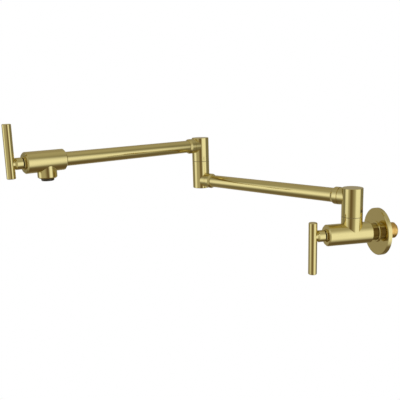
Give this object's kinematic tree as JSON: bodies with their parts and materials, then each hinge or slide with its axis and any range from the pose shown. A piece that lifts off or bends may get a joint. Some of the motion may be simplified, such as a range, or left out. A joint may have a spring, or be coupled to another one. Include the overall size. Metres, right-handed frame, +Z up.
{
  "type": "pot filler tap",
  "caption": "Wall-mounted swing-arm pot filler: flanged inlet valve, folding tubular arms on sealed swivel posts, and a spout valve with aerator, each valve with a bar lever.",
  "frame": {"origin": "on the supply inlet's axis where it meets the wall plane, at the back of the wall flange's rim", "axes": "+Y into the wall along the inlet, the tap stands out towards -Y; +Z up along the swivel posts; +X to the right when facing the wall"},
  "size_m": [0.2674, 0.4918, 0.2042],
  "materials": {
    "gold_brass": "brushed pale gold",
    "copper_brass": "bare warm brass",
    "plain_brass": "machined",
    "black_rubber": "matt",
    "white_ceramic": "lapped",
    "dark_bearing_plastic": "matt",
    "screw_steel": "black oxide",
    "black_plastic": "moulded, satin",
    "screen_plastic": "matt"
  },
  "bodies": {
    "wall_valve": {"inlet_nipple": "copper_brass", "wall_flange": "gold_brass", "flange_o_ring": "black_rubber", "inlet_valve_body": "gold_brass", "inlet_cartridge": "plain_brass", "inlet_fixed_disc": "white_ceramic", "inlet_seat_seal": "black_rubber", "inlet_bonnet": "gold_brass", "wall_spigot": "plain_brass", "wall_spigot_o_rings": "black_rubber", "wall_swivel_washer": "dark_bearing_plastic"},
    "inlet_handle": {"inlet_handle_bar": "gold_brass", "inlet_handle_hub": "gold_brass", "inlet_handle_screw": "screw_steel", "inlet_cartridge_stem": "plain_brass", "inlet_stem_o_ring": "black_rubber", "inlet_moving_disc": "white_ceramic"},
    "lower_arm": {"wall_swivel_head": "gold_brass", "wall_retaining_screw": "screw_steel", "lower_arm_wall_collar": "gold_brass", "lower_arm_tube": "gold_brass", "lower_arm_elbow_collar": "gold_brass", "elbow_base": "gold_brass", "elbow_spigot": "plain_brass", "elbow_spigot_o_rings": "black_rubber", "elbow_swivel_washer": "dark_bearing_plastic"},
    "upper_arm": {"elbow_swivel_head": "gold_brass", "elbow_retaining_screw": "screw_steel", "upper_arm_collar": "gold_brass", "upper_arm_tube": "gold_brass", "outlet_valve_body": "gold_brass", "outlet_cartridge": "plain_brass", "outlet_fixed_disc": "white_ceramic", "outlet_seat_seal": "black_rubber", "outlet_bonnet": "gold_brass", "aerator_housing": "black_plastic", "aerator_washer": "black_rubber", "aerator_screen": "screen_plastic"},
    "outlet_handle": {"outlet_handle_bar": "gold_brass", "outlet_handle_hub": "gold_brass", "outlet_handle_screw": "screw_steel", "outlet_cartridge_stem": "plain_brass", "outlet_stem_o_ring": "black_rubber", "outlet_moving_disc": "white_ceramic"}
  },
  "joints": [
    {"name": "inlet_handle_turn", "type": "hinge", "parent": "wall_valve", "child": "inlet_handle", "pos_m": [0, -0.0934, 0], "axis": [0, -1, 0], "range_deg": [0, 90]},
    {"name": "wall_swivel", "type": "hinge", "parent": "wall_valve", "child": "lower_arm", "pos_m": [0, -0.0398, 0.048], "axis": [0, 0, 1], "range_deg": [-34.2, 145.8]},
    {"name": "elbow_swivel", "type": "hinge", "parent": "lower_arm", "child": "upper_arm", "pos_m": [-0.2229, -0.19128, 0.104], "axis": [0, 0, 1], "continuous": true},
    {"name": "outlet_handle_turn", "type": "hinge", "parent": "upper_arm", "child": "outlet_handle", "pos_m": [-0.07655, -0.46422, 0.104], "axis": [0.4726, -0.8813, 0], "range_deg": [0, 90]}
  ]
}
